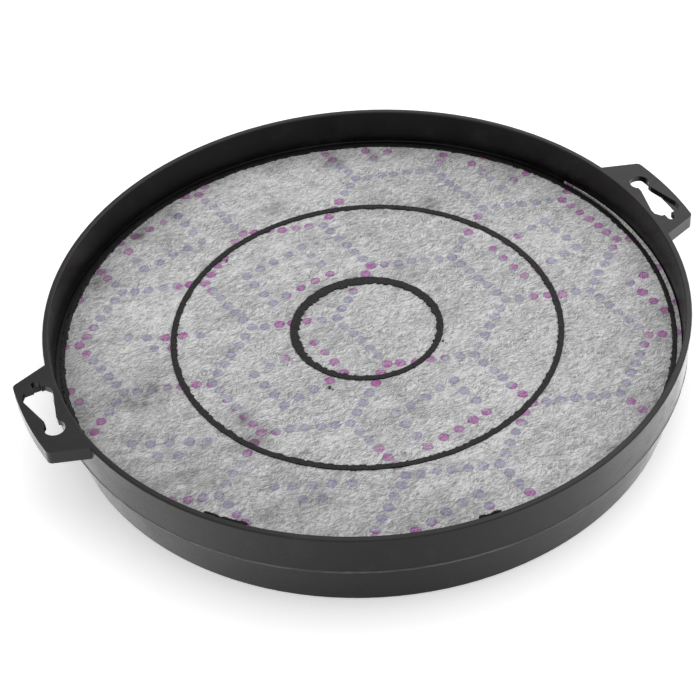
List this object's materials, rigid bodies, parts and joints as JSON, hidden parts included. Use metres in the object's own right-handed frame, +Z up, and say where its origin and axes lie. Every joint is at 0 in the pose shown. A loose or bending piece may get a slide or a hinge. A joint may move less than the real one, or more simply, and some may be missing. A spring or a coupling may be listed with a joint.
{
  "type": "cooker hood carbon filter",
  "caption": "Round carbon filter for a cooker hood: dished plastic housing with keyhole lugs and a back grille, carbon fill, and welded fleece on top.",
  "frame": {"origin": "centre of the base, on the surface that the filter lies on", "axes": "+Z up out of the dish, towards the welded fleece and the rim; +X along the line through the middles of the two lugs"},
  "size_m": [0.2656, 0.24, 0.035],
  "materials": {
    "housing_plastic": "satin moulded",
    "plain_fleece": "non-woven",
    "carbon_granules": "loose granules",
    "printed_fleece": "non-woven, dotted print"
  },
  "bodies": {
    "root": {"housing": "housing_plastic", "back_fleece_centre": "plain_fleece", "back_fleece_middle": "plain_fleece", "back_fleece_outer": "plain_fleece", "carbon_centre": "carbon_granules", "carbon_middle": "carbon_granules", "carbon_outer": "carbon_granules", "front_fleece": "printed_fleece"}
  },
  "joints": []
}
